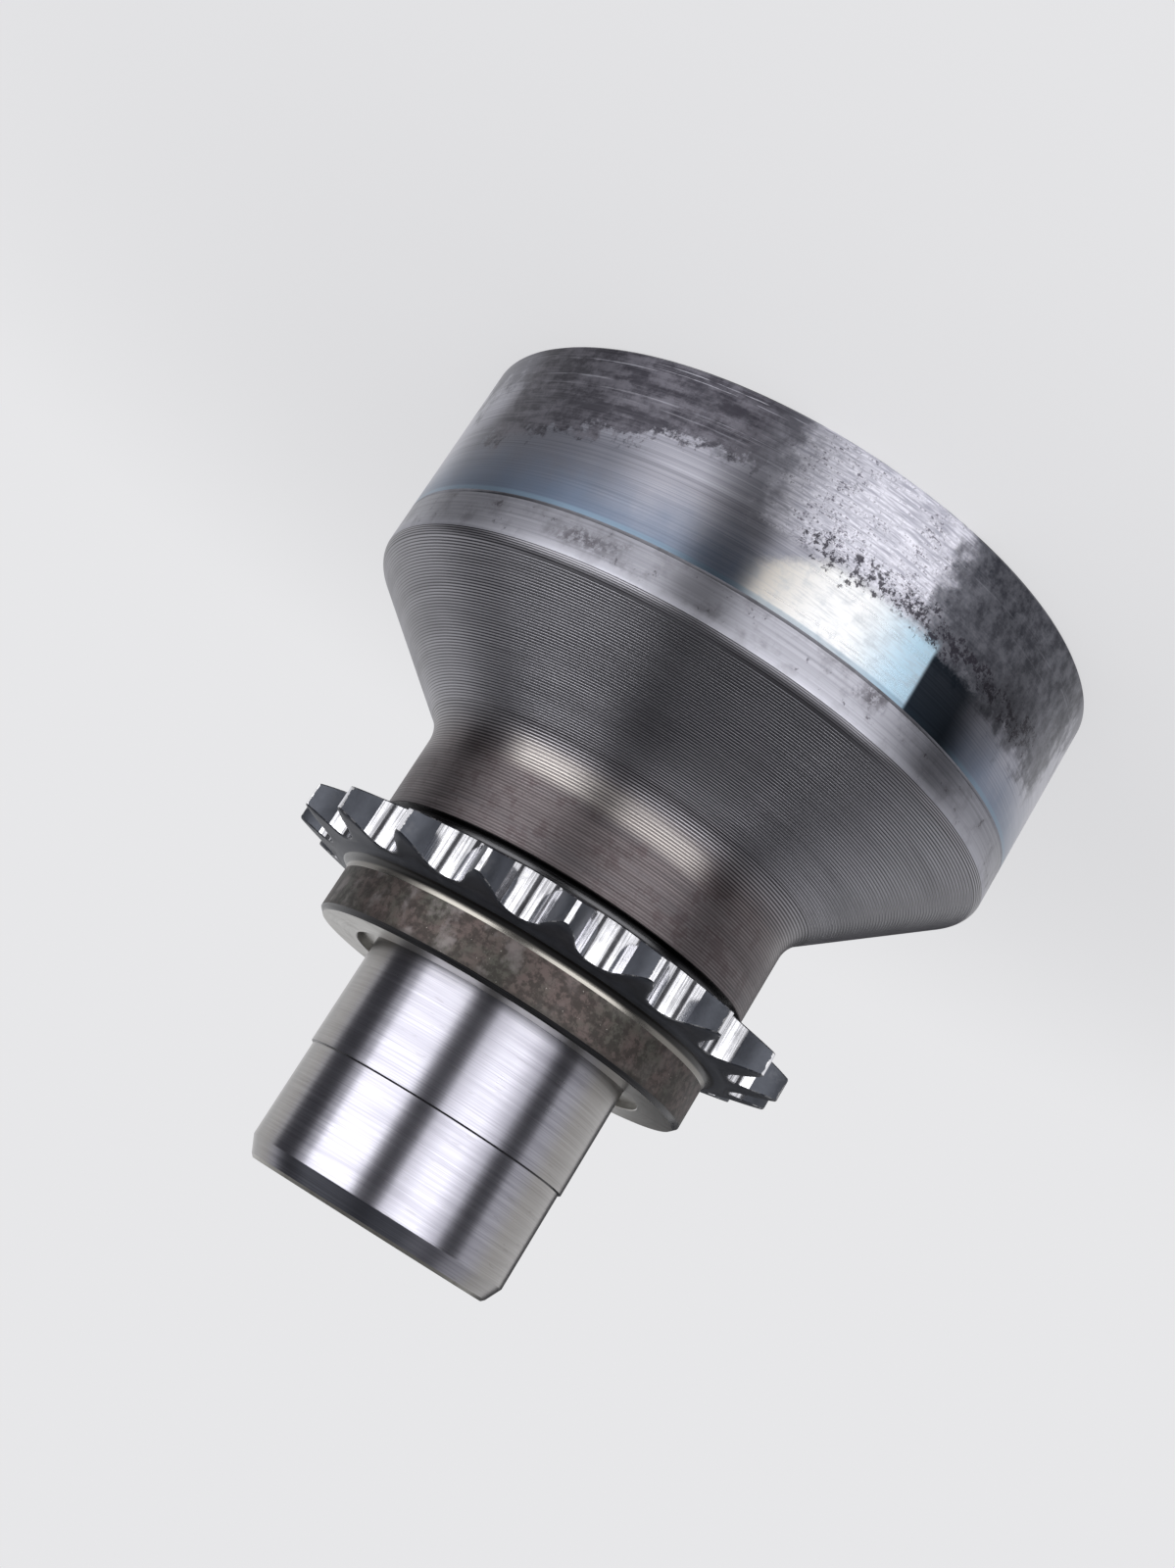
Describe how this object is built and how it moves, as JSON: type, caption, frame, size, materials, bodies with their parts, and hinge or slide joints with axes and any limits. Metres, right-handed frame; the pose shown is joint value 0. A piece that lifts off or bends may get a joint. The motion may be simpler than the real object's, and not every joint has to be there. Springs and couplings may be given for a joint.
{
  "type": "crankshaft hub",
  "caption": "Turned steel crankshaft hub: a wide seal drum, a turned cone and neck, one row of chain teeth, a clamping collar and a hollow pilot shaft.",
  "frame": {"origin": "centre of the big end's flat face, which the hub stands on and the damper bolts to", "axes": "+Z along the hub's axis, from the big end towards the end of the pilot shaft; a sprocket tooth points about along -Y, and one tapped hole lies on +X"},
  "size_m": [0.066, 0.066, 0.0745],
  "materials": {
    "hub_steel": "turned and ground steel, stained on the collar and blued near the seal land"
  },
  "bodies": {
    "root": {"crankshaft_hub": "hub_steel"}
  },
  "joints": []
}
